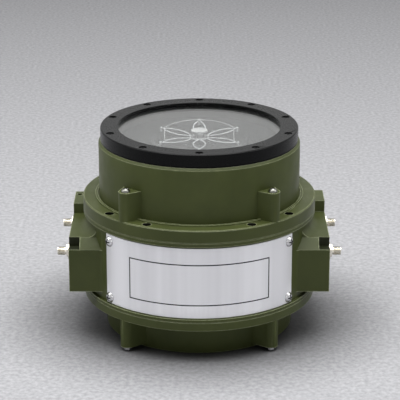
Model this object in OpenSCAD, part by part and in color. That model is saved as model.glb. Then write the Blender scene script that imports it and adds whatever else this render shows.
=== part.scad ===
/* [Base cover] */
// Radius of the two housing flanges and of the body's rims
flange_r = 107; // [100:0.5:114]
// How far the lower pan stands back from its flange
pan_inset = 18.5; // [16:0.5:20]
// How much narrower the pan is at its foot
base_draft = 2; // [0.5:0.5:3]
// Height of the lower pan under its flange
base_h = 30; // [28:0.5:34]
// Thickness of the lower flange
base_flange_h = 8; // [7:0.5:11]
// Thickness of the pan's wall
base_wall = 6; // [4:0.5:7]
// Thickness of the pan's floor
base_floor = 6; // [4:0.5:6]
// Gap under the foot lugs
foot_gap = 4; // [3:0.5:6]

/* [Main body] */
// How far the body's wall stands back from its rims
rim_step = 3; // [2:0.1:3.5]
// Thickness of the body's wall
body_wall = 11; // [10:0.5:12]
// Height of the body from joint face to joint face
body_h = 75; // [70:0.5:80]
// Height of the body's lower rim
lower_rim_h = 3.2; // [2.5:0.1:4]
// Height of the body's upper rim
upper_rim_h = 3.7; // [2.5:0.1:4]
// Thickness of the bulkhead that carries the spindle
bulkhead_h = 8; // [6:0.5:9]
// Thickness of the bearing hub's wall
hub_wall = 6; // [5:0.5:7]

/* [Side blocks] */
// How far a block stands out past the flange
block_out = 11; // [9:0.5:14]
// Half length of a block from front to back
block_y = 55; // [52:0.5:58]
// Height of a block's underside above the body's lower face
block_lift = 9.4; // [8:0.2:12]
// Gap between a block's highest part and the body's upper rim
block_head_gap = 1.7; // [1:0.1:3]
// Size of the bevel along a block's front edge
block_bevel = 8.9; // [6:0.1:10]
// Distance from the axis back to the left block's step
step_left_y = 20.5; // [14:0.5:26]
// Distance from the axis back to the right block's step
step_right_y = 24; // [14:0.5:26]
// Height of the left block's rear part over its front part
raise_left = 9.6; // [6:0.1:11]
// Height of the right block's rear part over its front part
raise_right = 11; // [6:0.1:11]
// Width of the corner notch
notch_w = 9.8; // [7:0.1:11]
// Depth of the corner notch from the front face
notch_d = 10; // [7:0.5:11]
// Height of the corner notch
notch_h = 8.5; // [6:0.5:10]

/* [Upper cover] */
// Thickness of the upper flange
cover_flange_h = 11.8; // [10:0.1:13]
// Width of the flange's ledge round the drum
flange_ledge = 14.8; // [14.2:0.1:16]
// Height of the drum above its flange
drum_h = 51.7; // [48:0.1:56]
// Thickness of the drum's wall
drum_wall = 5.7; // [5:0.1:6.4]
// Bevel at the top of the drum
drum_bevel = 2; // [1:0.5:3]
// Width of the low shoulder round the drum's foot
shoulder_w = 3.6; // [2:0.1:4]

/* [Lugs] */
// Angle of the lugs from the front and from the back
lug_angle = 40; // [38:0.5:42]
// Radius of a lug's round nose
lug_r = 6.4; // [6:0.1:6.8]
// Half width of a lug where it meets the drum
lug_foot_w = 11; // [8:0.5:12]
// Height of the upper lugs above the flange
lug_h = 26.3; // [20:0.1:30]

/* [Window] */
// How far the black ring stands back from the drum's wall
bezel_inset = 1.8; // [1.4:0.1:2.2]
// Width of the black ring
bezel_w = 16.1; // [15:0.1:18]
// Height of the black ring
bezel_h = 12.5; // [12:0.1:14]
// Height of the thin neck under the ring
bezel_neck_h = 1; // [0.6:0.1:1.4]
// Number of ring screws
bezel_bolts = 10; // [8:1:12]
// Thickness of the glass
glass_h = 3.7; // [3:0.1:4]
// How far the glass reaches under the black ring
glass_lap = 5.2; // [4.6:0.1:5.4]
// Thickness of the gasket under the glass
gasket_h = 1.5; // [1.2:0.1:1.8]

/* [Coaxial sockets] */
// Distance of a socket from the near end of its block
coax_end_gap = 17; // [14:0.5:20]
// Height of the blocks' front part over the sockets
coax_drop = 15.8; // [14:0.1:20]
// Radius of the socket's threaded barrel
coax_r = 4; // [3.6:0.1:4.4]
// Length of the socket outside the block
coax_len = 11.2; // [9:0.1:14]

/* [Nameplate] */
// Angle between an end of the plate and the side block beside it
plate_end_turn = 4; // [3:0.5:8]
// Thickness of the plate
plate_t = 1; // [0.6:0.1:1.5]
// Gap between the plate and the body's upper rim
plate_head_gap = 1.8; // [1:0.1:4]
// Angle between an end of the plate and its engraved border
border_end_turn = 16; // [12:0.5:22]
// Height of the plain margin over the border
border_head = 15; // [12:0.1:18]
// Height of the plain margin under the border
border_foot = 11.7; // [10:0.1:16]

/* [Spindle] */
// Radius of the spindle in its bearings
shaft_r = 12.48; // [12:0.01:13]
// Radial thickness of a bearing
bearing_section = 8.52; // [8.4:0.01:8.8]
// Width of a bearing
bearing_w = 9; // [8:0.1:10]
// Free height between the two bearings
bearing_gap = 16; // [14:0.5:18]
// Number of balls in a bearing
ball_count = 14; // [10:1:16]
// Thickness of the turntable
table_h = 8; // [6:0.5:9]
// Gap between the turntable and the body's cavity
table_clear = 7; // [6:0.5:9]

/* [Torque motor] */
// Length of a stator tooth
tooth_len = 10; // [9:0.1:11]
// Height of the stator
stator_h = 12; // [10:0.5:13]
// Number of stator teeth
stator_teeth = 12; // [9:3:15]
// Thickness of the rotor's iron ring
rotor_iron_t = 5; // [4:0.1:6]
// Number of magnets
magnet_count = 14; // [10:2:20]

/* [Sensor cluster] */
// Gap between a gyro's mirrors and the sensor block's sides
box_margin = 2.5; // [1.5:0.5:4]
// Height of the sensor block's box
box_h = 40; // [38:0.5:42]
// Distance from a gyro block's centre to its long sides
gyro_apothem = 20; // [18:0.5:20.5]
// Distance from a gyro block's centre to its mirror faces
gyro_corner = 28; // [26:0.5:28.5]
// Thickness of a gyro block
gyro_t = 20; // [16:0.5:20]
// Radius of the bore that the dither wheel sits in
gyro_bore_r = 9.5; // [8:0.1:10]

/* [Head deck] */
// Gap round and over the turning deck's rim
deck_clear = 3; // [2.5:0.1:4]
// Thickness of the deck
deck_h = 3; // [2:0.5:4]
// Radius of the raised stage on the deck
stage_r = 43.7; // [42:0.1:48]
// Height of the stage
stage_h = 1.2; // [0.8:0.1:2]
// Number of light loops
loop_count = 6; // [4:2:8]
// Distance from the stage's edge to the loops' tips
tip_inset = 5.2; // [4.8:0.1:8]
// Half width of a light loop
loop_half_w = 5.5; // [4:0.5:6.5]
// Radius of the loops' glass rod
rod_r = 0.6; // [0.4:0.05:0.8]

/* [Hidden] */
$fn = 96;

// How far a cut runs past the surface it opens
over = 1;
// Clearance round a part that is pressed or seated
seat_gap = 0.05;
// Clearance round a screw's shank
shank_gap = 0.15;
// Clearance between a turning part and its neighbour
turn_gap = 0.3;

// Heights of the housing's joint faces
body_z = base_h + base_flange_h;
cover_z = body_z + body_h;
flange_top_z = cover_z + cover_flange_h;
drum_top_z = flange_top_z + drum_h;
bezel_top_z = drum_top_z + bezel_h;

// Radii of the housing, all led from its flanges
base_r = flange_r - pan_inset;
wall_r = flange_r - rim_step;
cavity_r = wall_r - body_wall;
drum_r = flange_r - flange_ledge;
shoulder_r = drum_r + shoulder_w;
bolt_circle_r = flange_r - lug_r;

// Small sizes of the housing
edge_bevel = 0.8;
rim_bevel = 0.5;
shoulder_h = 1.2;
shoulder_groove_w = 1.2;
lug_web_sink = 3;
flange_sink = 4;
base_round = 1;
rib_w = 4;
rib_count = 6;
cable_hole_r = 9;
cable_wall_gap = 14;
cable_circle_r = cavity_r - cable_wall_gap - cable_hole_r;

// Tie bolts and their sleeve nuts
tie_shank_r = 2.5;
tie_head_r = 4.2;
tie_head_h = 3.4;
sleeve_r = 3.5;
sleeve_h = 14;
sleeve_foot = 0.5;
sleeve_thread_r = 2.1;

// Flange screws beside the lugs
hole_step = 12.8;
flange_shank_r = 2.1;
flange_head_r = 3.6;
flange_head_h = 4;
counterbore_r = 4;
counterbore_d = 8.4;
base_counterbore_d = 4.6;
thread_d = 7;
socket_share = 0.55;
socket_d = 2;

// Black ring, window seat, glass and ring screws
ring_bolt_share = 0.385;
bezel_r = drum_r - bezel_inset;
opening_r = bezel_r - bezel_w;
bezel_bolt_r = bezel_r - bezel_w * ring_bolt_share;
glass_r = opening_r + glass_lap;
seat_inset = 1.2;
seat_r = opening_r + seat_inset;
seat_rim_w = 3.9;
seat_h = 4;
top_ring_h = 6.5;
bezel_bevel = 0.8;
bezel_neck_cut = 1.4;
bezel_counterbore_r = 3.5;
bezel_counterbore_d = 3.6;
bezel_head_r = 2.75;
bezel_head_h = 2.6;
bezel_shank_r = 1.5;
bezel_thread_d = 4.5;

// Seals between the housing's joint faces, halfway from the cavity to the bolts
seal_r = (cavity_r + bolt_circle_r - tie_shank_r - shank_gap) / 2;
seal_w = 2.4;
seal_d = 1.9;

// Side blocks
block_x = flange_r + block_out;
block_z = body_z + block_lift;
block_h = body_h - block_lift - block_head_gap - upper_rim_h - max(raise_left, raise_right);
block_fillet = 6;
fillet_sink = 0.1;
front_cove = 8;
rear_cove = 5;
block_skin = 6;
recess_r = 2.6;
recess_d = 3;
recess_inset_x = 4.5;
recess_inset_y = 8;

// Coaxial sockets
coax_y = block_y - coax_end_gap;
coax_z = block_z + block_h - coax_drop;
coax_flange_r = 7.8;
coax_flange_t = 1.4;
coax_hex_r = 6;
coax_hex_t = 1.6;
coax_wall = 1.3;
coax_cup_d = 6;
coax_relief = 0.5;
coax_relief_w = 1.4;
coax_tail_r = 2.6;
coax_tail_len = 11;
coax_pin_r = 0.65;
coax_pin_out = 4;

// Nameplate and its screws
plate_foot = 0.6;
plate_h = body_h - lower_rim_h - upper_rim_h - plate_foot - plate_head_gap;
plate_angle = acos((block_y + block_fillet) / (wall_r + block_fillet)) - plate_end_turn;
plate_low_z = body_z + lower_rim_h + plate_foot;
low_screw_edge = 5.3;
high_screw_edge = 6.9;
plate_screw_turn = 2.3;
border_angle = plate_angle - border_end_turn;
border_line_w = 1.1;
border_line_d = 0.25;
plate_shank_r = 1.9;
plate_head_r = 4.9;
plate_head_h = 2.7;
plate_screw_len = 8;
slot_w = 1.1;
slot_len_share = 0.62;
slot_depth_share = 0.55;

// Bearings
bearing_r = shaft_r + bearing_section;
hub_r = bearing_r + hub_wall;
ball_r = 2.6;
ball_gap = 0.05;
race_wall = 2.7;
retainer_h = 3;
retainer_lip = 3.5;
nut_h = 4.3;
nut_w = 4;
nut_r = shaft_r + nut_w;
nut_slots = 4;
nut_slot_w = 4;
nut_slot_d = 1.6;

// Spindle, each radius stepped from the one beside it
shoulder_step = 2;
shoulder_shaft_r = shaft_r + shoulder_step;
shoulder_shaft_h = 2;
flange_step = 9.5;
flange_shaft_r = shaft_r + flange_step;
flange_shaft_h = 3;
neck_step = 1.5;
encoder_shoulder_r = shaft_r - neck_step;
encoder_shoulder_h = 2.8;
encoder_step = 3;
encoder_seat_r = encoder_shoulder_r - encoder_step;
encoder_seat_h = 2.7;
tail_r = encoder_seat_r - encoder_step;
tail_wall = 1.5;
bore_r = tail_r - tail_wall;
slip_floor_gap = 4.2;

// Heights along the spindle
lower_room_h = 8;
hub_lip = 1;
bulkhead_z = body_z + lower_room_h;
hub_bottom_z = bulkhead_z - bearing_w;
lower_bearing_z = hub_bottom_z;
upper_bearing_z = lower_bearing_z + bearing_w + bearing_gap;
hub_top_z = upper_bearing_z + bearing_w + hub_lip;
shaft_flange_z = upper_bearing_z + bearing_w + shoulder_shaft_h;
table_z = shaft_flange_z + flange_shaft_h;
table_top_z = table_z + table_h;
table_r = cavity_r - table_clear;
encoder_z = lower_bearing_z - nut_h - encoder_shoulder_h;
tail_h = encoder_z - encoder_seat_h - base_floor - slip_floor_gap;

// Torque motor
stator_yoke = 5;
stator_seat_w = 4;
stator_seat_r = hub_r + stator_seat_w;
stator_seat_h = 4;
yoke_r = hub_r + seat_gap + stator_yoke;
stator_r = yoke_r + tooth_len;
tooth_w = 4;
tooth_tip_w = 2;
tooth_slot_w = 3;
coil_wall = 2.6;
coil_gap = 0.2;
magnet_gap = 0.8;
magnet_t = 3.2;
magnet_space = 1;
rotor_iron_extra = 1;
skirt_t = 6;
skirt_foot = 3;

// Encoder and slip ring
disc_r = 34;
disc_t = 1.2;
head_w = 12;
head_lap = 9;
head_foot_w = 6;
head_r0 = disc_r - head_lap;
head_r1 = disc_r + head_foot_w;
head_foot = 4.5;
head_slot = 0.8;
head_clear = 3;
slip_core_w = 3.6;
slip_core_r = tail_r + slip_core_w;
slip_groove = 0.8;
slip_rings = 7;
slip_gap = 0.8;
slip_housing_w = 7.6;
slip_housing_r = slip_core_r + slip_gap + slip_housing_w;
slip_flange_w = 6;
slip_flange_r = slip_housing_r + slip_flange_w;
slip_flange_h = 3;

// Circuit boards
board_t = 1.6;
board_clear = 3.5;
board_r = base_r - base_draft - base_wall - board_clear;
board_hole_gap = 5;
power_board_r0 = slip_flange_r + board_hole_gap;
power_board_lift = 8;
power_board_z = base_floor + power_board_lift;
nav_hole_gap = 6;
nav_board_r0 = head_r1 + nav_hole_gap;
nav_board_z = base_h;
standoff_r = 2.5;
standoff_circle_r = board_r - 2 * standoff_r;
standoff_count = 4;
chip_h = 2;
chip_share = 0.5;
chip_count = 8;
inductor_h = 7;
inductor_share = 0.46;
inductor_count = 3;
can_r = 4.5;
can_h = 8;
can_turn = 10;

// Turntable and sensor block
isolator_h = 10;
isolator_r = 8;
isolator_waist = 1.6;
isolator_circle_r = 60;
isolator_count = 4;
sensor_plate_h = 7;
box_wall = 5;
sensor_z = table_top_z + isolator_h;
sensor_top_z = sensor_z + sensor_plate_h;
box_top_z = sensor_top_z + box_h;
table_hole_r = 8;
table_hole_circle_r = 36;

// Gyros
gyro_stand = 1.5;
gyro_lift = 1.5;
mirror_r = 6.2;
mirror_t = 3.5;
box_half = gyro_corner + mirror_t + box_margin;
beam_r = 1.5;
cathode_r = 5.5;
cathode_len = 9;
anode_r = 2.5;
anode_len = 6;
anode_place = 9;
wheel_rim = 1.4;
wheel_spoke_w = 1.4;
wheel_hub_r = 4;
wheel_spokes = 3;
gyro_centre_z = sensor_top_z + gyro_lift + gyro_apothem;
gyro_face = box_half + gyro_stand;

// Accelerometers and high voltage supply
accel_r = 10.5;
accel_len = 15;
accel_flange_r = 13;
accel_flange_t = 3;
accel_gap = 0.4;
accel_corner_r = box_half * sqrt(2) + accel_gap + accel_flange_r;
accel_pin_r = 0.8;
accel_pin_len = 3;
supply_w = 19;
supply_d = 14;
supply_h = 24;
supply_gap = 7.9;
supply_r = box_half * sqrt(2) + supply_gap + supply_d / 2;
supply_foot_w = 22;
supply_foot_h = 3;

// Head deck: a rim under the cover's top ring and a raised platform under the glass
glass_z = drum_top_z + seat_h + gasket_h;
window_room = 8;
deck_r = drum_r - drum_wall - deck_clear;
deck_z = drum_top_z - top_ring_h - deck_clear - deck_h;
deck_top_z = deck_z + deck_h;
stage_top_z = glass_z - window_room;
platform_gap = 1.3;
platform_r = opening_r - platform_gap;
platform_top_z = stage_top_z - stage_h;
platform_low_z = platform_top_z - deck_h;
stage_lip_h = 0.6;
stage_lip_w = 1.2;
pillar_r = 3;
pillar_edge = 0.5;
pillar_circle_r = deck_r - pillar_edge - pillar_r;
pillar_count = 4;
cluster_gap = 2;
sensor_plate_r = pillar_circle_r - pillar_r - cluster_gap;
gyro_board_hole_share = 0.64;
gyro_board_r0 = sensor_plate_r * gyro_board_hole_share;
gyro_board_r1 = sensor_plate_r;
gyro_board_drop = 4.4;
gyro_board_z = deck_z - gyro_board_drop - board_t;
gyro_board_post_r = (gyro_board_r0 + gyro_board_r1) / 2;
deck_screw_r = 1.7;
deck_screw_h = 1;
stage_screw_count = 6;
stage_screw_circle_r = 25;

// Light loops, whose tips rise towards the back
tip_gap = 0.1;
hub_ring_r = 8;
hub_base_r = 6.5;
hub_base_h = 1;
loop_step = 360 / loop_count;
loop_tip_r = stage_r - tip_inset;
loop_z = stage_top_z + rod_r + tip_gap;
loop_rise = 0.8;
back_rise = 3.6;
rise_power = 2.5;
post_r = 0.7;
post_circle_r = 4;
post_count = 3;
button_r = 7.6;
button_t = 1.2;
button_gap = 0.6;
button_z = glass_z - button_gap - button_t;
knob_r = 1.3;
knob_post_r = 1.1;
knob_circle_r = loop_tip_r + rod_r + tip_gap + knob_r;
wire_r = 0.5;
wire_joint_r = 0.7;
wire_inset = 2;
wire_circle_r = loop_tip_r - wire_inset;

// Angles of the lugs and of the flange screws, measured from the front
lug_places = [lug_angle, 180 - lug_angle, 180 + lug_angle, -lug_angle];
screw_half = [
    lug_angle - hole_step, lug_angle + hole_step,
    180 - lug_angle - 2 * hole_step, 180 - lug_angle - hole_step, 180 - lug_angle + hole_step
];
screw_places = [for (side = [-1, 1]) for (a = screw_half) side * a];

// Puts its children at each angle from the front, on a circle
module around(places, r = 0) {
    for (a = places) rotate([0, 0, a - 90]) translate([r, 0, 0]) children();
}

// A plain round ring standing on its lower face
module ring(r_out, r_in, h) {
    difference() {
        cylinder(r = r_out, h = h);
        translate([0, 0, -over]) cylinder(r = r_in, h = h + 2 * over);
    }
}

// A domed screw head with a cross recess, its seat at zero
module domed_head(r, h) {
    slot_len = 2 * r * slot_len_share;
    slot_d = h * slot_depth_share;
    dome_r = (r * r + h * h) / (2 * h);
    difference() {
        intersection() {
            translate([0, 0, h - dome_r]) sphere(r = dome_r);
            cylinder(r = r - seat_gap, h = h);
        }
        for (a = [0, 90]) rotate([0, 0, a])
            translate([-slot_len / 2, -slot_w / 2, h - slot_d]) cube([slot_len, slot_w, h]);
    }
}

// A socket head cap screw, its seat at zero and its shank below
module socket_screw(head_r, head_h, shank_r, shank_len) {
    difference() {
        cylinder(r = head_r, h = head_h);
        translate([0, 0, head_h - socket_d]) cylinder(r = head_r * socket_share, h = head_h, $fn = 6);
    }
    translate([0, 0, -shank_len]) cylinder(r = shank_r, h = shank_len);
}

// Outline of a lug: a round nose with straight flanks running back to the drum
module lug_outline(root_r) {
    root_x = root_r - lug_web_sink;
    reach = bolt_circle_r - root_x;
    dist = sqrt(reach * reach + lug_foot_w * lug_foot_w);
    turn = atan2(lug_foot_w, -reach) - acos(lug_r / dist);
    tip = [bolt_circle_r + lug_r * cos(turn), lug_r * sin(turn)];
    translate([bolt_circle_r, 0]) circle(r = lug_r);
    polygon([[root_x, -lug_foot_w], [tip[0], -tip[1]], tip, [root_x, lug_foot_w]]);
}

module base_cover() {
    foot_r = base_r - base_draft;
    color("darkolivegreen") difference() {
        union() {
            rotate_extrude() polygon([
                [0, 0], [foot_r - base_round, 0], [foot_r, base_round],
                [base_r, base_h], [flange_r - rim_bevel, base_h], [flange_r, base_h + rim_bevel],
                [flange_r, body_z], [0, body_z]
            ]);
            around(lug_places) translate([0, 0, foot_gap])
                linear_extrude(base_h - foot_gap + flange_sink) lug_outline(foot_r);
        }
        rotate_extrude() polygon([
            [0, base_floor], [foot_r - base_wall, base_floor],
            [base_r - base_wall, base_h], [base_r - base_wall, body_z + over], [0, body_z + over]
        ]);
        around(lug_places, bolt_circle_r) translate([0, 0, -over])
            cylinder(r = tie_shank_r + shank_gap, h = body_z + 2 * over);
        around(lug_places, bolt_circle_r) translate([0, 0, -over])
            cylinder(r = sleeve_r + shank_gap, h = sleeve_foot + sleeve_h + over);
        around(screw_places, bolt_circle_r) translate([0, 0, base_h - over])
            cylinder(r = flange_shank_r + shank_gap, h = base_flange_h + 2 * over);
        around(screw_places, bolt_circle_r) translate([0, 0, base_h - over])
            cylinder(r = counterbore_r, h = base_counterbore_d + over);
    }
}

module base_cover_screws() {
    color("dimgray") around(screw_places, bolt_circle_r)
        translate([0, 0, base_h + base_counterbore_d]) mirror([0, 0, 1])
            socket_screw(flange_head_r, flange_head_h, flange_shank_r,
                base_flange_h - base_counterbore_d + thread_d - over);
}

// Seal that lies in the body's upper and lower face
module face_seal() {
    ring(seal_r + seal_w / 2 - seat_gap, seal_r - seal_w / 2 + seat_gap, seal_d - seat_gap);
}

module housing_seals() {
    color("black") {
        translate([0, 0, body_z]) face_seal();
        translate([0, 0, cover_z - seal_d + seat_gap]) face_seal();
    }
}

// Side view of a block, drawn with its front to the left
module block_profile(step_y, raise) {
    top_z = block_z + block_h;
    back_z = top_z + raise;
    polygon([
        [-block_y, block_z], [-block_y, top_z - block_bevel], [-block_y + block_bevel, top_z],
        [step_y, top_z], [step_y, back_z], [block_y, back_z], [block_y, block_z]
    ]);
}

// Upright fillet between a block's end face and the round wall
module block_end_fillet() {
    reach = wall_r + block_fillet - fillet_sink;
    cy = block_y + block_fillet - fillet_sink;
    cx = sqrt(reach * reach - cy * cy);
    inner = (wall_r - over) / reach;
    difference() {
        polygon([
            [cx, block_y - over], [cx, cy - block_fillet / 2], [cx, cy],
            [cx * inner, cy * inner], [cx * inner - over, block_y - over]
        ]);
        translate([cx, cy]) circle(r = block_fillet);
    }
}

// Cove of radius r from a block's top at height z up to the round wall, between two places along the block
module top_cove(r, z, y0, y1) {
    intersection() {
        rotate_extrude() difference() {
            translate([wall_r - over, z - over]) square(r + over);
            translate([wall_r + r - fillet_sink, z + r - fillet_sink]) circle(r = r);
        }
        translate([0, y0, z - 2 * over]) cube([block_x, y1 - y0, r + 3 * over]);
    }
}

// One side block pointing to +X
module side_block(step_y, raise) {
    top_z = block_z + block_h;
    root_x = cavity_r * cos(asin(block_y / cavity_r));
    translate([root_x, 0, 0]) rotate([90, 0, 90])
        linear_extrude(block_x - root_x) block_profile(step_y, raise);
    translate([0, 0, block_z]) linear_extrude(block_h - block_bevel) mirror([0, 1]) block_end_fillet();
    translate([0, 0, block_z]) linear_extrude(block_h + raise) block_end_fillet();
    top_cove(front_cove, top_z, block_bevel - block_y, step_y + over);
    top_cove(rear_cove, top_z + raise, step_y, block_y);
}

// Everything that is cut out of a side block
module side_block_cuts() {
    notch_z = block_z + block_h - notch_h;
    translate([block_x - notch_w, -block_y - over, notch_z])
        cube([notch_w + over, notch_d + over, notch_h + over]);
    translate([0, block_skin - block_y, block_z + block_skin])
        cube([block_x - block_skin, 2 * (block_y - block_skin), notch_z - block_z - 3 * block_skin / 2]);
    for (side = [-1, 1]) translate([block_x - block_skin - over, side * coax_y, coax_z])
        rotate([0, 90, 0]) cylinder(r = coax_tail_r + shank_gap, h = block_skin + 2 * over);
}

module main_body() {
    rim_z = body_z + lower_rim_h;
    top_rim_z = cover_z - upper_rim_h;
    seal_out = seal_r + seal_w / 2;
    color("darkolivegreen") difference() {
        union() {
            difference() {
                union() {
                    rotate_extrude() polygon([
                        [cavity_r, body_z], [flange_r - rim_bevel, body_z], [flange_r, body_z + rim_bevel],
                        [flange_r, rim_z], [wall_r, rim_z], [wall_r, top_rim_z], [flange_r, top_rim_z],
                        [flange_r, cover_z - rim_bevel], [flange_r - rim_bevel, cover_z], [cavity_r, cover_z]
                    ]);
                    side_block(step_right_y, raise_right);
                    mirror([1, 0, 0]) side_block(step_left_y, raise_left);
                }
                translate([0, 0, body_z - over]) cylinder(r = cavity_r, h = body_h + 2 * over);
                side_block_cuts();
                mirror([1, 0, 0]) side_block_cuts();
                translate([recess_inset_x - block_x, block_y - recess_inset_y,
                    block_z + block_h + raise_left - recess_d]) cylinder(r = recess_r, h = recess_d + over);
            }
            translate([0, 0, bulkhead_z]) cylinder(r = cavity_r + seat_gap, h = bulkhead_h);
            translate([0, 0, hub_bottom_z]) cylinder(r = hub_r, h = hub_top_z - hub_bottom_z);
            translate([0, 0, bulkhead_z]) cylinder(r = stator_seat_r, h = bulkhead_h + stator_seat_h);
            for (i = [0:rib_count - 1]) rotate([0, 0, i * 360 / rib_count])
                translate([hub_r - over, -rib_w / 2, bulkhead_z - bulkhead_h / 2])
                    cube([cavity_r - hub_r + 2 * over, rib_w, bulkhead_h]);
        }
        translate([0, 0, hub_bottom_z - over])
            cylinder(r = bearing_r - race_wall / 2, h = hub_top_z - hub_bottom_z + 2 * over);
        translate([0, 0, lower_bearing_z - over]) cylinder(r = bearing_r + seat_gap, h = bearing_w + over);
        translate([0, 0, upper_bearing_z]) cylinder(r = bearing_r + seat_gap, h = bearing_w + 2 * over);
        for (i = [0:rib_count - 1]) rotate([0, 0, (i + 1 / 2) * 360 / rib_count])
            translate([cable_circle_r, 0, bulkhead_z - over]) cylinder(r = cable_hole_r, h = bulkhead_h + 2 * over);
        around(lug_places, bolt_circle_r) translate([0, 0, body_z - over])
            cylinder(r = tie_shank_r + shank_gap, h = body_h + 2 * over);
        around(screw_places, bolt_circle_r) for (z = [body_z - over, cover_z - thread_d])
            translate([0, 0, z]) cylinder(r = flange_shank_r + shank_gap, h = thread_d + over);
        for (z = [body_z - over, cover_z - seal_d]) translate([0, 0, z])
            ring(seal_out, seal_out - seal_w, seal_d + over);
        plate_screw_places() cylinder(r = plate_shank_r + shank_gap, h = plate_screw_len + over);
    }
}

module upper_cover() {
    inner_r = drum_r - drum_wall;
    ring_z = drum_top_z - top_ring_h;
    seat_top = drum_top_z + seat_h;
    color("darkolivegreen") difference() {
        union() {
            rotate_extrude() polygon([
                [inner_r, cover_z], [flange_r - rim_bevel, cover_z], [flange_r, cover_z + rim_bevel],
                [flange_r, flange_top_z - edge_bevel], [flange_r - edge_bevel, flange_top_z],
                [shoulder_r, flange_top_z], [shoulder_r, flange_top_z + shoulder_h],
                [drum_r + shoulder_groove_w, flange_top_z + shoulder_h],
                [drum_r + shoulder_groove_w, flange_top_z], [drum_r, flange_top_z],
                [drum_r, drum_top_z - drum_bevel], [drum_r - drum_bevel, drum_top_z],
                [seat_r + seat_rim_w, drum_top_z], [seat_r + seat_rim_w, seat_top],
                [seat_r, seat_top], [seat_r, ring_z], [inner_r, ring_z]
            ]);
            around(lug_places) translate([0, 0, flange_top_z - flange_sink])
                linear_extrude(lug_h + flange_sink) lug_outline(drum_r);
        }
        around(lug_places, bolt_circle_r) translate([0, 0, cover_z - over])
            cylinder(r = tie_shank_r + shank_gap, h = cover_flange_h + lug_h + 2 * over);
        around(screw_places, bolt_circle_r) translate([0, 0, cover_z - over])
            cylinder(r = flange_shank_r + shank_gap, h = cover_flange_h + 2 * over);
        around(screw_places, bolt_circle_r) translate([0, 0, flange_top_z - counterbore_d])
            cylinder(r = counterbore_r, h = counterbore_d + over);
        for (i = [0:bezel_bolts - 1]) around([i * 360 / bezel_bolts], bezel_bolt_r)
            translate([0, 0, drum_top_z - bezel_thread_d])
                cylinder(r = bezel_shank_r + shank_gap, h = bezel_thread_d + over);
    }
}

module upper_cover_screws() {
    color("dimgray") around(screw_places, bolt_circle_r)
        translate([0, 0, flange_top_z - counterbore_d])
            socket_screw(flange_head_r, flange_head_h, flange_shank_r,
                cover_flange_h - counterbore_d + thread_d - over);
}

module tie_bolts() {
    head_z = flange_top_z + lug_h;
    foot_z = sleeve_foot + sleeve_h / 2 + seat_gap;
    color("silver") around(lug_places, bolt_circle_r) {
        translate([0, 0, foot_z]) cylinder(r = tie_shank_r, h = head_z - foot_z);
        translate([0, 0, head_z]) domed_head(tie_head_r, tie_head_h);
    }
}

// Sleeve nuts: the tie bolt ends halfway, and the tapped lower half takes a foot bolt
module tie_bolt_nuts() {
    color("silver") around(lug_places, bolt_circle_r) translate([0, 0, sleeve_foot]) difference() {
        cylinder(r = sleeve_r, h = sleeve_h);
        translate([0, 0, -over]) cylinder(r = sleeve_thread_r, h = sleeve_h);
        translate([0, 0, sleeve_h / 2]) cylinder(r = tie_shank_r + seat_gap, h = sleeve_h / 2 + over);
    }
}

module window_bezel() {
    neck_r = bezel_r - bezel_neck_cut;
    neck_z = drum_top_z + bezel_neck_h;
    rim_r = seat_r + seat_rim_w + seat_gap;
    pocket_r = glass_r + 2 * seat_gap;
    lip_z = drum_top_z + seat_h + gasket_h + glass_h + seat_gap;
    color([0.12, 0.12, 0.13]) difference() {
        rotate_extrude() polygon([
            [max(rim_r, pocket_r), drum_top_z], [neck_r, drum_top_z], [neck_r, neck_z], [bezel_r, neck_z],
            [bezel_r, bezel_top_z - bezel_bevel], [bezel_r - bezel_bevel, bezel_top_z],
            [opening_r + bezel_bevel / 2, bezel_top_z], [opening_r, bezel_top_z - bezel_bevel / 2],
            [opening_r, lip_z], [max(rim_r, pocket_r), lip_z]
        ]);
        for (i = [0:bezel_bolts - 1]) around([i * 360 / bezel_bolts], bezel_bolt_r) {
            translate([0, 0, drum_top_z - over]) cylinder(r = bezel_shank_r + shank_gap, h = bezel_h + 2 * over);
            translate([0, 0, bezel_top_z - bezel_counterbore_d])
                cylinder(r = bezel_counterbore_r, h = bezel_counterbore_d + over);
        }
    }
}

module bezel_screws() {
    seat_z = bezel_top_z - bezel_counterbore_d;
    color([0.1, 0.1, 0.1]) for (i = [0:bezel_bolts - 1]) around([i * 360 / bezel_bolts], bezel_bolt_r)
        translate([0, 0, seat_z])
            socket_screw(bezel_head_r, bezel_head_h, bezel_shank_r, seat_z - drum_top_z + bezel_thread_d - over);
}

module window_glass() {
    color("lightcyan", 0.4) translate([0, 0, glass_z]) cylinder(r = glass_r, h = glass_h);
}

module window_gasket() {
    color("black") translate([0, 0, drum_top_z + seat_h])
        ring(seat_r + seat_rim_w, seat_r, gasket_h);
}

// Places of the plate's screws, each pointing inwards from the wall's surface
module plate_screw_places() {
    low = plate_low_z + low_screw_edge;
    high = plate_low_z + plate_h - high_screw_edge;
    turn = plate_angle - plate_screw_turn;
    for (side = [-1, 1]) for (z = [low, high]) around([side * turn], wall_r + over)
        translate([0, 0, z]) rotate([0, -90, 0]) children();
}

// A curved slab facing the front, standing on a height
module front_slab(half_angle, r, t, low_z, h) {
    rotate([0, 0, -90 - half_angle]) rotate_extrude(angle = 2 * half_angle)
        translate([r, low_z]) square([t, h]);
}

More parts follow.
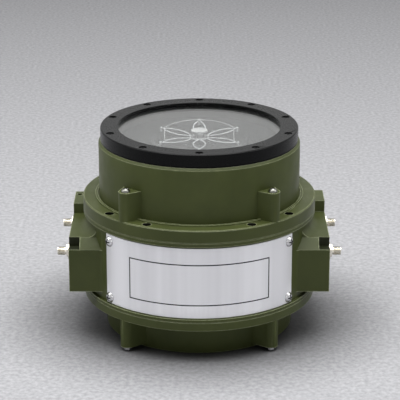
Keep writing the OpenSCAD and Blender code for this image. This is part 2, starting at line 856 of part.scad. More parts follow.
module nameplate() {
    in_r = wall_r + seat_gap;
    out_r = in_r + plate_t;
    line_z = plate_low_z + border_foot;
    border_h = plate_h - border_foot - border_head;
    side_turn = border_line_w / out_r * 180 / PI;
    color("gainsboro") difference() {
        front_slab(plate_angle, in_r, plate_t, plate_low_z, plate_h);
        difference() {
            front_slab(border_angle, out_r - border_line_d, border_line_d + over, line_z, border_h);
            front_slab(border_angle - side_turn, in_r, plate_t + 2 * over,
                line_z + border_line_w, border_h - 2 * border_line_w);
        }
        plate_screw_places() translate([0, 0, -plate_t - over])
            cylinder(r = plate_shank_r + shank_gap, h = plate_t + 3 * over);
    }
}

module nameplate_screws() {
    seat = plate_t + 2 * seat_gap;
    color("silver") plate_screw_places() translate([0, 0, over - seat]) {
        mirror([0, 0, 1]) domed_head(plate_head_r, plate_head_h);
        cylinder(r = plate_shank_r, h = plate_screw_len - over);
    }
}

// A coaxial socket pointing to +X, the block's face at zero
module coax_socket() {
    hex_x = coax_flange_t;
    barrel_x = hex_x + coax_hex_t;
    cup_r = coax_r - coax_wall;
    color("silver") rotate([0, 90, 0]) difference() {
        union() {
            cylinder(r = coax_flange_r, h = coax_flange_t);
            translate([0, 0, hex_x]) cylinder(r = coax_hex_r, h = coax_hex_t, $fn = 6);
            translate([0, 0, barrel_x]) cylinder(r = coax_r - coax_relief, h = coax_relief_w);
            translate([0, 0, barrel_x + coax_relief_w])
                cylinder(r = coax_r, h = coax_len - barrel_x - coax_relief_w);
            translate([0, 0, -coax_tail_len]) cylinder(r = coax_tail_r, h = coax_tail_len);
        }
        translate([0, 0, coax_len - coax_cup_d]) cylinder(r = cup_r, h = coax_cup_d + over);
        translate([0, 0, -coax_tail_len - over])
            cylinder(r = cup_r / 2 + seat_gap, h = coax_tail_len + coax_len);
    }
}

// Puts its children at a socket's seat: side is -1 for left, end is -1 for front
module coax_place(side, end) {
    translate([side * block_x, end * coax_y, coax_z]) rotate([0, 0, side < 0 ? 180 : 0]) children();
}

module coax_front_left() coax_place(-1, -1) coax_socket();
module coax_front_right() coax_place(1, -1) coax_socket();
module coax_rear_left() coax_place(-1, 1) coax_socket();
module coax_rear_right() coax_place(1, 1) coax_socket();

module coax_insulators() {
    bore_len = coax_tail_len + coax_len - coax_cup_d;
    color("ivory") for (side = [-1, 1]) for (end = [-1, 1]) coax_place(side, end)
        translate([-coax_tail_len, 0, 0]) rotate([0, 90, 0])
            ring((coax_r - coax_wall) / 2, coax_pin_r + seat_gap, bore_len);
}

module coax_pins() {
    color("gold") for (side = [-1, 1]) for (end = [-1, 1]) coax_place(side, end)
        translate([-coax_tail_len - coax_pin_out / 2, 0, 0]) rotate([0, 90, 0])
            cylinder(r = coax_pin_r, h = coax_tail_len + coax_len - coax_cup_d + coax_pin_out);
}

module bearing_retainer() {
    color("gray") translate([0, 0, hub_bottom_z - retainer_h])
        ring(hub_r, bearing_r - retainer_lip, retainer_h);
}

// Lower faces of the two bearings
bearing_heights = [lower_bearing_z, upper_bearing_z];
pitch_r = (shaft_r + bearing_r) / 2;

module ball_track() {
    rotate_extrude() translate([pitch_r, bearing_w / 2]) circle(r = ball_r + ball_gap);
}

module bearing_outer_races() {
    color("lightsteelblue") for (z = bearing_heights) translate([0, 0, z]) difference() {
        ring(bearing_r, bearing_r - race_wall, bearing_w);
        ball_track();
    }
}

module bearing_inner_races() {
    color("lightsteelblue") for (z = bearing_heights) translate([0, 0, z]) difference() {
        ring(shaft_r + seat_gap + race_wall, shaft_r + seat_gap / 2, bearing_w);
        ball_track();
    }
}

module bearing_balls() {
    color("white") for (z = bearing_heights) for (i = [0:ball_count - 1])
        rotate([0, 0, i * 360 / ball_count]) translate([pitch_r, 0, z + bearing_w / 2])
            sphere(r = ball_r);
}

module spindle_shaft() {
    nut_z = lower_bearing_z - nut_h;
    seat_z = encoder_z - encoder_seat_h;
    tail_z = seat_z - tail_h;
    neck_r = shaft_r - seat_gap;
    color("lightgray") rotate_extrude() polygon([
        [bore_r, tail_z], [tail_r, tail_z], [tail_r, seat_z], [encoder_seat_r, seat_z],
        [encoder_seat_r, encoder_z], [encoder_shoulder_r, encoder_z], [encoder_shoulder_r, nut_z],
        [neck_r, nut_z], [neck_r, lower_bearing_z], [shaft_r, lower_bearing_z],
        [shaft_r, shaft_flange_z - shoulder_shaft_h],
        [shoulder_shaft_r, shaft_flange_z - shoulder_shaft_h], [shoulder_shaft_r, shaft_flange_z],
        [flange_shaft_r, shaft_flange_z], [flange_shaft_r, table_z],
        [shaft_r, table_z], [shaft_r, table_top_z], [bore_r, table_top_z]
    ]);
}

module shaft_nut() {
    nut_z = lower_bearing_z - nut_h;
    color("dimgray") difference() {
        translate([0, 0, nut_z]) ring(nut_r, shaft_r, nut_h);
        for (i = [0:nut_slots - 1]) rotate([0, 0, i * 360 / nut_slots])
            translate([nut_r - nut_slot_d, -nut_slot_w / 2, nut_z - over])
                cube([nut_slot_d + over, nut_slot_w, nut_h + 2 * over]);
    }
}

stator_z = bulkhead_z + bulkhead_h + stator_seat_h;

module motor_stator() {
    color("slategray") translate([0, 0, stator_z]) linear_extrude(stator_h) difference() {
        union() {
            circle(r = yoke_r);
            for (i = [0:stator_teeth - 1]) rotate(i * 360 / stator_teeth)
                translate([yoke_r - over, -tooth_w / 2]) square([stator_r - yoke_r, tooth_w]);
            difference() {
                circle(r = stator_r);
                circle(r = stator_r - tooth_tip_w);
                for (i = [0:stator_teeth - 1]) rotate((i + 1 / 2) * 360 / stator_teeth)
                    translate([0, -tooth_slot_w / 2]) square([flange_r, tooth_slot_w]);
            }
        }
        circle(r = hub_r + seat_gap);
    }
}

module motor_windings() {
    r0 = yoke_r + coil_gap;
    inner_w = tooth_w + 2 * coil_gap;
    inner_h = stator_h + 2 * coil_gap;
    outer_w = inner_w + 2 * coil_wall;
    outer_h = inner_h + 2 * coil_wall;
    tip_r = stator_r - tooth_tip_w;
    len = sqrt(tip_r * tip_r - outer_w * outer_w / 4) - coil_gap - r0;
    color("peru") translate([0, 0, stator_z + stator_h / 2]) for (i = [0:stator_teeth - 1])
        rotate([0, 0, i * 360 / stator_teeth]) translate([r0, 0, 0]) difference() {
            translate([0, -outer_w / 2, -outer_h / 2]) cube([len, outer_w, outer_h]);
            translate([-over, -inner_w / 2, -inner_h / 2]) cube([len + 2 * over, inner_w, inner_h]);
        }
}

magnet_r = stator_r + magnet_gap;
rotor_iron_r = magnet_r + magnet_t + seat_gap;
skirt_r = rotor_iron_r + rotor_iron_t;
rotor_z = stator_z - rotor_iron_extra;
rotor_h = stator_h + 2 * rotor_iron_extra;

module motor_rotor() {
    color("dimgray") translate([0, 0, rotor_z]) ring(skirt_r, rotor_iron_r, rotor_h);
}

module motor_magnets() {
    step = 360 / magnet_count;
    span = step - magnet_space / magnet_r * 180 / PI;
    color("darkgray") for (i = [0:magnet_count - 1]) rotate([0, 0, i * step])
        rotate_extrude(angle = span) translate([magnet_r, rotor_z]) square([magnet_t, rotor_h]);
}

module encoder_disc() {
    color("lightblue") translate([0, 0, encoder_z - disc_t]) ring(disc_r, encoder_seat_r + seat_gap, disc_t);
}

module encoder_read_head() {
    low = encoder_z - head_foot;
    color("black") difference() {
        translate([-head_w / 2, head_r0, low]) cube([head_w, head_r1 - head_r0, bulkhead_z - low]);
        translate([0, 0, encoder_z - disc_t - head_slot])
            cylinder(r = disc_r + turn_gap, h = disc_t + 2 * head_slot);
        translate([-head_w, 0, encoder_z + head_slot])
            cube([2 * head_w, hub_r + head_clear, bulkhead_z - encoder_z - head_slot + over]);
    }
}

slip_z = encoder_z - encoder_seat_h - tail_h;
slip_h = tail_h - over;

module slip_ring_rotor() {
    pitch = slip_h / slip_rings;
    color("goldenrod") translate([0, 0, slip_z]) difference() {
        ring(slip_core_r, tail_r + seat_gap, slip_h);
        for (i = [1:slip_rings - 1]) translate([0, 0, i * pitch])
            rotate_extrude() translate([slip_core_r, 0]) circle(r = slip_groove);
    }
}

module slip_ring_stator() {
    color("darkslategray") {
        translate([0, 0, base_floor]) difference() {
            union() {
                cylinder(r = slip_flange_r, h = slip_flange_h);
                cylinder(r = slip_housing_r, h = slip_z + slip_h - base_floor);
            }
            translate([0, 0, slip_flange_h - over])
                cylinder(r = slip_core_r + slip_gap, h = tail_h + 2 * base_floor);
        }
    }
}

// A round board with a central opening and its parts on top
module round_board(r_out, r_in) {
    difference() {
        ring(r_out, r_in, board_t);
        for (i = [0:standoff_count - 1]) rotate([0, 0, (i + 1 / 2) * 360 / standoff_count])
            translate([standoff_circle_r, 0, -over])
                cylinder(r = standoff_r / 2, h = board_t + 2 * over);
    }
}

// A flat part centred at a radius on a board and sunk halfway into it
module board_part(r, w, h) {
    translate([r - w / 2, -w / 2, board_t / 2]) cube([w, w, h + board_t / 2]);
}

// A circle of chips in the middle of a round board
module board_chips(r_out, r_in) {
    for (i = [0:chip_count - 1]) rotate([0, 0, i * 360 / chip_count])
        board_part((r_out + r_in) / 2, (r_out - r_in) * chip_share, chip_h);
}

module power_board() {
    mid_r = (power_board_r0 + board_r) / 2;
    inductor_w = (board_r - power_board_r0) * inductor_share;
    step = 360 / inductor_count;
    color("darkgreen") translate([0, 0, power_board_z]) {
        round_board(board_r, power_board_r0);
        for (i = [0:inductor_count - 1]) rotate([0, 0, (i + 1 / 2) * step]) {
            board_part(mid_r, inductor_w, inductor_h);
            for (side = [-1, 1]) rotate([0, 0, step / 2 + side * can_turn])
                translate([mid_r, 0, board_t / 2]) cylinder(r = can_r, h = can_h + board_t / 2);
        }
    }
}

module navigation_board() {
    color("darkgreen") translate([0, 0, nav_board_z]) {
        round_board(board_r, nav_board_r0);
        board_chips(board_r, nav_board_r0);
    }
}

module board_standoffs() {
    gaps = [
        [base_floor, power_board_z - base_floor],
        [power_board_z + board_t, nav_board_z - power_board_z - board_t]
    ];
    color("gold") for (g = gaps) for (i = [0:standoff_count - 1])
        rotate([0, 0, (i + 1 / 2) * 360 / standoff_count])
            translate([standoff_circle_r, 0, g[0]]) cylinder(r = standoff_r, h = g[1]);
}

module turntable() {
    skirt_z = bulkhead_z + bulkhead_h + skirt_foot;
    color("lightgray") difference() {
        union() {
            translate([0, 0, table_z]) cylinder(r = table_r, h = table_h);
            translate([0, 0, skirt_z]) cylinder(r = skirt_r + skirt_t, h = table_z - skirt_z + over);
        }
        translate([0, 0, skirt_z - over]) cylinder(r = skirt_r + seat_gap, h = table_z - skirt_z + over);
        translate([0, 0, table_z - over]) cylinder(r = shaft_r + seat_gap, h = table_h + 2 * over);
        for (i = [0:rib_count - 1]) rotate([0, 0, i * 360 / rib_count])
            translate([table_hole_circle_r, 0, table_z - over]) cylinder(r = table_hole_r, h = table_h + 2 * over);
    }
}

module isolators() {
    waist_r = isolator_h;
    color("black") for (i = [0:isolator_count - 1]) rotate([0, 0, (i + 1 / 2) * 360 / isolator_count])
        translate([isolator_circle_r, 0, table_top_z]) rotate_extrude() difference() {
            square([isolator_r, isolator_h]);
            translate([isolator_r + waist_r - isolator_waist, isolator_h / 2]) circle(r = waist_r);
        }
}

module sensor_block() {
    inner = box_half - box_wall;
    color("silver") translate([0, 0, sensor_z]) difference() {
        union() {
            cylinder(r = sensor_plate_r, h = sensor_plate_h);
            translate([-box_half, -box_half, 0]) cube([2 * box_half, 2 * box_half, sensor_plate_h + box_h]);
        }
        translate([-inner, -inner, -over])
            cube([2 * inner, 2 * inner, sensor_plate_h + box_h - box_wall + over]);
        for (a = [0, 90, 180, 270]) rotate([0, 0, a])
            translate([0, 0, gyro_centre_z - sensor_z]) rotate([0, 90, 0])
                cylinder(r = wheel_hub_r / 2, h = sensor_plate_r);
    }
}

// Lays its children, drawn flat round the origin, on the sensor block's x, y or z face
module gyro_place(axis_name) {
    if (axis_name == "x") translate([gyro_face, 0, gyro_centre_z]) rotate([90, 0, 90]) children();
    if (axis_name == "y") translate([0, gyro_face, gyro_centre_z]) rotate([90, 0, 180]) children();
    if (axis_name == "z") translate([0, 0, box_top_z + gyro_stand]) children();
}

// Triangle with its corners cut square for the mirrors
module gyro_outline() {
    tip = 2 * gyro_apothem;
    cut = 2 * gyro_corner;
    intersection() {
        polygon([for (a = [90, 210, 330]) [tip * cos(a), tip * sin(a)]]);
        polygon([for (a = [30, 150, 270]) [cut * cos(a), cut * sin(a)]]);
    }
}

module gyro_block(axis_name) {
    side = gyro_corner * sqrt(3);
    color("lightyellow") gyro_place(axis_name) difference() {
        linear_extrude(gyro_t) gyro_outline();
        translate([0, 0, -over]) cylinder(r = gyro_bore_r, h = gyro_t + 2 * over);
        for (a = [90, 210, 330]) rotate([0, 0, a]) translate([gyro_corner - over, 0, gyro_t / 2])
            rotate([-90, 0, 60]) cylinder(r = beam_r, h = side);
    }
}

module gyro_mirrors(axis_name) {
    color("white") gyro_place(axis_name) for (a = [90, 210, 330]) rotate([0, 0, a])
        translate([gyro_corner, 0, gyro_t / 2]) rotate([0, 90, 0]) cylinder(r = mirror_r, h = mirror_t);
}

module gyro_electrodes(axis_name) {
    color("goldenrod") gyro_place(axis_name) {
        rotate([0, 0, 30]) translate([gyro_apothem, 0, gyro_t / 2]) rotate([0, 90, 0])
            cylinder(r = cathode_r, h = cathode_len);
        for (s = [-1, 1]) rotate([0, 0, 150]) translate([gyro_apothem, s * anode_place, gyro_t / 2])
            rotate([0, 90, 0]) cylinder(r = anode_r, h = anode_len);
    }
}

module gyro_block_x() gyro_block("x");
module gyro_block_y() gyro_block("y");
module gyro_block_z() gyro_block("z");
module gyro_mirrors_x() gyro_mirrors("x");
module gyro_mirrors_y() gyro_mirrors("y");
module gyro_mirrors_z() gyro_mirrors("z");
module gyro_electrodes_x() gyro_electrodes("x");
module gyro_electrodes_y() gyro_electrodes("y");
module gyro_electrodes_z() gyro_electrodes("z");

// Flexure wheel on a post, with its seat on the sensor block's face
module dither_wheel() {
    rim_r = gyro_bore_r - turn_gap;
    translate([0, 0, -gyro_stand]) cylinder(r = wheel_hub_r, h = gyro_t + gyro_stand);
    ring(rim_r, rim_r - wheel_rim, gyro_t);
    for (i = [0:wheel_spokes - 1]) rotate([0, 0, 90 + i * 360 / wheel_spokes])
        translate([wheel_hub_r - wheel_rim / 2, -wheel_spoke_w / 2, wheel_rim])
            cube([rim_r - wheel_hub_r, wheel_spoke_w, gyro_t - 2 * wheel_rim]);
}

module dither_wheels() {
    color("gray") for (name = ["x", "y", "z"]) gyro_place(name) dither_wheel();
}

// An accelerometer standing on its flange, with its two pins on top
module accelerometer() {
    cylinder(r = accel_flange_r, h = accel_flange_t);
    cylinder(r = accel_r, h = accel_len);
    for (s = [-1, 1]) translate([s * accel_r / 2, 0, accel_len]) cylinder(r = accel_pin_r, h = accel_pin_len);
}

module accelerometers() {
    color("silver") {
        translate([-box_half, 0, gyro_centre_z]) rotate([0, -90, 0]) accelerometer();
        translate([0, -box_half, gyro_centre_z]) rotate([90, 0, 0]) accelerometer();
        rotate([0, 0, 225]) translate([accel_corner_r, 0, sensor_top_z]) accelerometer();
    }
}

module high_voltage_supply() {
    color("steelblue") rotate([0, 0, 135]) translate([supply_r, 0, sensor_top_z]) {
        translate([-supply_d / 2, -supply_w / 2, 0]) cube([supply_d, supply_w, supply_h]);
        translate([-supply_d / 2, -supply_foot_w / 2, 0]) cube([supply_d, supply_foot_w, supply_foot_h]);
    }
}

module gyro_board() {
    color("darkgreen") translate([0, 0, gyro_board_z]) {
        ring(gyro_board_r1, gyro_board_r0, board_t);
        translate([0, 0, board_t]) mirror([0, 0, 1]) board_chips(gyro_board_r1, gyro_board_r0);
    }
}

// Pillars from the turntable to the deck's rim, and posts that hang the board under the platform
module deck_pillars() {
    step = 360 / pillar_count;
    color("silver") for (i = [0:pillar_count - 1]) {
        rotate([0, 0, i * step]) translate([pillar_circle_r, 0, table_top_z])
            cylinder(r = pillar_r, h = deck_z - table_top_z);
        rotate([0, 0, (i + 1 / 2) * step]) translate([gyro_board_post_r, 0, gyro_board_z + board_t])
            cylinder(r = standoff_r, h = platform_low_z - gyro_board_z - board_t);
    }
}

module head_deck() {
    wall_in_r = platform_r - deck_h;
    lip_r = stage_r - stage_lip_w;
    lip_z = stage_top_z - stage_lip_h;
    color("gray") rotate_extrude() polygon([
        [0, platform_low_z], [wall_in_r, platform_low_z], [wall_in_r, deck_z], [deck_r, deck_z],
        [deck_r, deck_top_z], [platform_r, deck_top_z], [platform_r, platform_top_z],
        [stage_r, platform_top_z], [stage_r, lip_z], [lip_r, lip_z], [lip_r, stage_top_z], [0, stage_top_z]
    ]);
}

module deck_screws() {
    color("silver") {
        for (i = [0:stage_screw_count - 1]) around([(i + 1 / 2) * 360 / stage_screw_count], stage_screw_circle_r)
            translate([0, 0, stage_top_z]) domed_head(deck_screw_r, deck_screw_h);
        for (i = [0:pillar_count - 1]) around([i * 360 / pillar_count], pillar_circle_r)
            translate([0, 0, deck_top_z]) domed_head(deck_screw_r, deck_screw_h);
    }
}

// Height of a loop's tip over its hub, for a loop at an angle from the front
function tip_rise(a) = loop_rise + back_rise * pow((1 - cos(a)) / 2, rise_power);

// One side of a light loop: a round rod bent to an arc from the hub ring to the tip
module loop_side() {
    half_len = (loop_tip_r - hub_ring_r) / 2;
    bend_r = (half_len * half_len + loop_half_w * loop_half_w) / (2 * loop_half_w);
    turn = asin(half_len / bend_r);
    translate([hub_ring_r + half_len, loop_half_w - bend_r, 0]) rotate([0, 0, 90 - turn])
        rotate_extrude(angle = 2 * turn) translate([bend_r, 0]) circle(r = rod_r, $fn = 32);
}

// A light loop at an angle from the front, tilted up from the hub ring
module light_loop(a) {
    tilt = atan(tip_rise(a) / (loop_tip_r - hub_ring_r));
    around([a], hub_ring_r) rotate([0, -tilt, 0]) translate([-hub_ring_r, 0, 0]) {
        loop_side();
        mirror([0, 1, 0]) loop_side();
    }
}

module light_loops() {
    color("white") translate([0, 0, loop_z]) {
        rotate_extrude() translate([hub_ring_r, 0]) circle(r = rod_r, $fn = 32);
        for (i = [0:loop_count - 1]) light_loop(i * loop_step);
    }
}

module loop_mirrors() {
    color("white") for (i = [0:loop_count - 1]) around([i * loop_step], knob_circle_r) {
        knob_z = loop_z + tip_rise(i * loop_step);
        translate([0, 0, stage_top_z]) cylinder(r = knob_post_r, h = knob_z - stage_top_z);
        translate([0, 0, knob_z]) sphere(r = knob_r);
    }
}

// Where the wire lies on the loop at an angle from the front
function wire_point(a) = [
    wire_circle_r * sin(a), -wire_circle_r * cos(a), loop_z + tip_rise(a) + rod_r + wire_r + seat_gap
];

module wire_between(p, q) {
    run = q - p;
    len = norm(run);
    translate(p) rotate([0, acos(run[2] / len), atan2(run[1], run[0])])
        cylinder(r = wire_r, h = len, $fn = 32);
}

// The wire's straight runs and joints on one side
module wire_side() {
    last = loop_count / 2 - 1;
    for (i = [1:last]) {
        translate(wire_point(i * loop_step)) sphere(r = wire_joint_r, $fn = 32);
        if (i < last) wire_between(wire_point(i * loop_step), wire_point((i + 1) * loop_step));
    }
}

// Wire from the front side loops round to the back, bent over the raised loop there
module loop_ring() {
    side = wire_point(180 - loop_step);
    back = wire_point(180);
    bow = [back[1] - side[1], back[2] - side[2]];
    bow_h = norm(bow);
    bend_r = (side[0] * side[0] + bow_h * bow_h) / (2 * bow_h);
    turn = atan2(side[0], bend_r - bow_h);
    color("white") {
        translate([0, side[1], side[2]]) rotate([atan2(bow[1], bow[0]), 0, 0])
            translate([0, bow_h - bend_r, 0]) rotate([0, 0, 90 - turn])
                rotate_extrude(angle = 2 * turn) translate([bend_r, 0]) circle(r = wire_r, $fn = 32);
        wire_side();
        mirror([1, 0, 0]) wire_side();
    }
}

module beam_hub() {
    color("white") {
        translate([0, 0, stage_top_z]) cylinder(r = hub_base_r, h = hub_base_h);
        for (i = [0:post_count - 1]) rotate([0, 0, i * 360 / post_count])
            translate([post_circle_r, 0, stage_top_z])
                cylinder(r = post_r, h = button_z - stage_top_z + button_t / 2);
        translate([0, 0, button_z]) cylinder(r = button_r, h = button_t);
    }
}

base_cover();
base_cover_screws();
housing_seals();
main_body();
upper_cover();
upper_cover_screws();
tie_bolts();
tie_bolt_nuts();
window_bezel();
bezel_screws();
window_glass();
window_gasket();
nameplate();
nameplate_screws();
coax_front_left();
coax_front_right();
coax_rear_left();
coax_rear_right();
coax_insulators();
coax_pins();
bearing_retainer();
bearing_outer_races();
bearing_inner_races();
bearing_balls();
spindle_shaft();
shaft_nut();
motor_stator();
motor_windings();
motor_rotor();
motor_magnets();
encoder_disc();
encoder_read_head();
slip_ring_rotor();
slip_ring_stator();
power_board();
navigation_board();
board_standoffs();
turntable();
isolators();
sensor_block();
gyro_block_x();
gyro_block_y();
gyro_block_z();
gyro_mirrors_x();
gyro_mirrors_y();
gyro_mirrors_z();
gyro_electrodes_x();
gyro_electrodes_y();
gyro_electrodes_z();
dither_wheels();
accelerometers();
high_voltage_supply();
gyro_board();
deck_pillars();
head_deck();
deck_screws();
light_loops();
loop_mirrors();
loop_ring();
beam_hub();
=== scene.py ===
import math

import bmesh
import bpy
from mathutils import Matrix, Vector


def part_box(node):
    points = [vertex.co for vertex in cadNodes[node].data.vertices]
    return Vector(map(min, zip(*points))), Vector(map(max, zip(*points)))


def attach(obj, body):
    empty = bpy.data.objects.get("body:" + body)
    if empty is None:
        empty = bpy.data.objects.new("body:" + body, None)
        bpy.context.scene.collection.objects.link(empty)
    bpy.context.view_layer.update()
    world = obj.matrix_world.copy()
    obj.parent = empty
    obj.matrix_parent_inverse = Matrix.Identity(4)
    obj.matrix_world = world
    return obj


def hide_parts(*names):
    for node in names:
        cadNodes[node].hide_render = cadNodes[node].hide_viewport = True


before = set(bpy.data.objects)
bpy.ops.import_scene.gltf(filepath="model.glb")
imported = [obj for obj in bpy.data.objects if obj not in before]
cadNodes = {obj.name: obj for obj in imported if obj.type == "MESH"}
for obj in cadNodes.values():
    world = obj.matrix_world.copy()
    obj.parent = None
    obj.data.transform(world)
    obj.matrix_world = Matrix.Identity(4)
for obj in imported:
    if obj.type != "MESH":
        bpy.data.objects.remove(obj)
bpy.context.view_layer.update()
mm = 0.001
scene = bpy.context.scene
scene.view_settings.view_transform = "Standard"


# Colour and node helpers

def tone(*shades):
    # A colour as it shows on a screen, 0 to 255, turned into Blender's own scale
    parts = [s / 255 for s in shades]
    return tuple(p / 12.92 if p <= 0.04045 else ((p + 0.055) / 1.055) ** 2.4 for p in parts) + (1.0,)


def newFinish(name):
    mat = bpy.data.materials.new(name)
    mat.use_nodes = True
    tree = mat.node_tree
    tree.nodes.clear()
    out = tree.nodes.new("ShaderNodeOutputMaterial")
    shader = tree.nodes.new("ShaderNodeBsdfPrincipled")
    tree.links.new(shader.outputs["BSDF"], out.inputs["Surface"])
    return mat, tree, shader


def placeIn(tree, stretch=(1, 1, 1)):
    coord = tree.nodes.new("ShaderNodeTexCoord")
    mapping = tree.nodes.new("ShaderNodeMapping")
    mapping.inputs["Scale"].default_value = stretch
    tree.links.new(coord.outputs["Object"], mapping.inputs["Vector"])
    return mapping.outputs["Vector"]


def noiseIn(tree, scale, detail=4, rough=0.5, stretch=(1, 1, 1)):
    noise = tree.nodes.new("ShaderNodeTexNoise")
    noise.inputs["Scale"].default_value = scale
    noise.inputs["Detail"].default_value = detail
    noise.inputs["Roughness"].default_value = rough
    tree.links.new(placeIn(tree, stretch), noise.inputs["Vector"])
    return noise.outputs["Fac"]


def rampIn(tree, fac, stops, colours):
    ramp = tree.nodes.new("ShaderNodeValToRGB")
    tree.links.new(fac, ramp.inputs["Fac"])
    for mark, at, colour in zip(ramp.color_ramp.elements, stops, colours):
        mark.position = at
        mark.color = tone(*colour)
    return ramp.outputs["Color"]


def rangeIn(tree, fac, low, high, span=(0.3, 0.7)):
    spread = tree.nodes.new("ShaderNodeMapRange")
    spread.inputs["From Min"].default_value, spread.inputs["From Max"].default_value = span
    spread.inputs["To Min"].default_value = low
    spread.inputs["To Max"].default_value = high
    tree.links.new(fac, spread.inputs["Value"])
    return spread.outputs["Result"]


def mathIn(tree, operation, a, b):
    node = tree.nodes.new("ShaderNodeMath")
    node.operation = operation
    tree.links.new(a, node.inputs[0])
    if isinstance(b, float):
        node.inputs[1].default_value = b
    else:
        tree.links.new(b, node.inputs[1])
    return node.outputs["Value"]


def bumpIn(tree, shader, height, strength, distance):
    bump = tree.nodes.new("ShaderNodeBump")
    bump.inputs["Strength"].default_value = strength
    bump.inputs["Distance"].default_value = distance
    tree.links.new(height, bump.inputs["Height"])
    tree.links.new(bump.outputs["Normal"], shader.inputs["Normal"])


mottle = {"detail": 5, "soft": 0.6, "stops": (0.3, 0.7), "fineDetail": 3, "glossSpread": 0.05,
          "grainStep": 0.0004}


def mottled(name, low, high, patch, rough, metal=0.0, grain=900, depth=0.02, stretch=(1, 1, 1), shine=0.5):
    # One finish: two close tones in soft patches, a fine grain, and a gloss that varies a little
    mat, tree, shader = newFinish(name)
    patches = noiseIn(tree, patch, mottle["detail"], mottle["soft"], stretch)
    tree.links.new(rampIn(tree, patches, mottle["stops"], (low, high)), shader.inputs["Base Color"])
    fine = noiseIn(tree, grain, mottle["fineDetail"], mottle["soft"], stretch)
    spread = mottle["glossSpread"]
    tree.links.new(rangeIn(tree, fine, rough - spread, rough + spread), shader.inputs["Roughness"])
    bumpIn(tree, shader, fine, depth, mottle["grainStep"])
    shader.inputs["Metallic"].default_value = metal
    shader.inputs["Specular IOR Level"].default_value = shine
    return mat


print("finishes")

# The worn tone on outer edges is rubbed paint and also a painted highlight
olive = {"dark": (64, 71, 37), "pale": (74, 81, 43), "patches": 22, "patchStops": (0.32, 0.68),
         "wornAndHighlight": (176, 182, 146), "wearAndHighlightWidth": 1.3, "bend": (0.84, 0.99), "outer": (0.5, 0.51),
         "flecks": 260, "fleckLeast": 0.55, "fleckSpan": (0.36, 0.6), "gloss": (0.4, 0.49), "smears": 70,
         "shine": 0.22, "grain": 1500, "grainDepth": 0.16, "grainStep": 0.0002}


def wearAndHighlightIn(tree):
    # The paint is thin and rubbed where an outer edge bends, and the pale tone there is also a painted
    # highlight; the rounded normal shows the edge
    shape = tree.nodes.new("ShaderNodeNewGeometry")
    rounded = tree.nodes.new("ShaderNodeBevel")
    rounded.samples = 6
    rounded.inputs["Radius"].default_value = olive["wearAndHighlightWidth"] * mm
    facing = tree.nodes.new("ShaderNodeVectorMath")
    facing.operation = "DOT_PRODUCT"
    tree.links.new(shape.outputs["True Normal"], facing.inputs[0])
    tree.links.new(rounded.outputs["Normal"], facing.inputs[1])
    bent = rangeIn(tree, facing.outputs["Value"], 1.0, 0.0, olive["bend"])
    outer = rangeIn(tree, shape.outputs["Pointiness"], 0.0, 1.0, olive["outer"])
    flecks = noiseIn(tree, olive["flecks"], detail=4, rough=0.7)
    fleck = rangeIn(tree, flecks, olive["fleckLeast"], 1.0, olive["fleckSpan"])
    return mathIn(tree, "MULTIPLY", mathIn(tree, "MULTIPLY", bent, outer), fleck)


def olivePaint():
    mat, tree, shader = newFinish("olivePaint")
    shader.inputs["Specular IOR Level"].default_value = olive["shine"]
    patches = noiseIn(tree, olive["patches"], detail=6, rough=0.62)
    body = rampIn(tree, patches, olive["patchStops"], (olive["dark"], olive["pale"]))
    # Outer edges take the worn tone: rubbed paint with a painted highlight
    mix = tree.nodes.new("ShaderNodeMix")
    mix.data_type = "RGBA"
    tree.links.new(wearAndHighlightIn(tree), mix.inputs["Factor"])
    tree.links.new(body, mix.inputs["A"])
    mix.inputs["B"].default_value = tone(*olive["wornAndHighlight"])
    tree.links.new(mix.outputs["Result"], shader.inputs["Base Color"])
    smears = noiseIn(tree, olive["smears"], detail=3)
    tree.links.new(rangeIn(tree, smears, *olive["gloss"]), shader.inputs["Roughness"])
    peel = noiseIn(tree, olive["grain"], detail=4, rough=0.55)
    bumpIn(tree, shader, peel, olive["grainDepth"], olive["grainStep"])
    return mat


brushed = {"dark": (230, 230, 233), "pale": (250, 250, 253), "paintedSheenBands": 34, "paintedSheenStops": (0.3, 0.62),
           "streaks": (30, 30, 1400), "gloss": (0.28, 0.4), "grainDepth": 0.1, "grainStep": 0.0003,
           "metal": 0.7}


def brushedPlate():
    # Fine brushing along the plate, with soft upright bands of painted sheen in its colour where brushed
    # metal would draw out the light
    mat, tree, shader = newFinish("brushedPlate")
    # Painted sheen: lighter and darker upright bands in the colour
    paintedSheenBands = noiseIn(tree, 1, detail=3, rough=0.6, stretch=(brushed["paintedSheenBands"], 0, 0))
    body = rampIn(tree, paintedSheenBands, brushed["paintedSheenStops"], (brushed["dark"], brushed["pale"]))
    tree.links.new(body, shader.inputs["Base Color"])
    streaks = noiseIn(tree, 1, detail=2, stretch=brushed["streaks"])
    tree.links.new(rangeIn(tree, streaks, *brushed["gloss"]), shader.inputs["Roughness"])
    bumpIn(tree, shader, streaks, brushed["grainDepth"], brushed["grainStep"])
    shader.inputs["Metallic"].default_value = brushed["metal"]
    return mat


pane = {"bend": 1.5, "smears": 35, "smearSpread": 0.03, "shadowPass": 0.9}


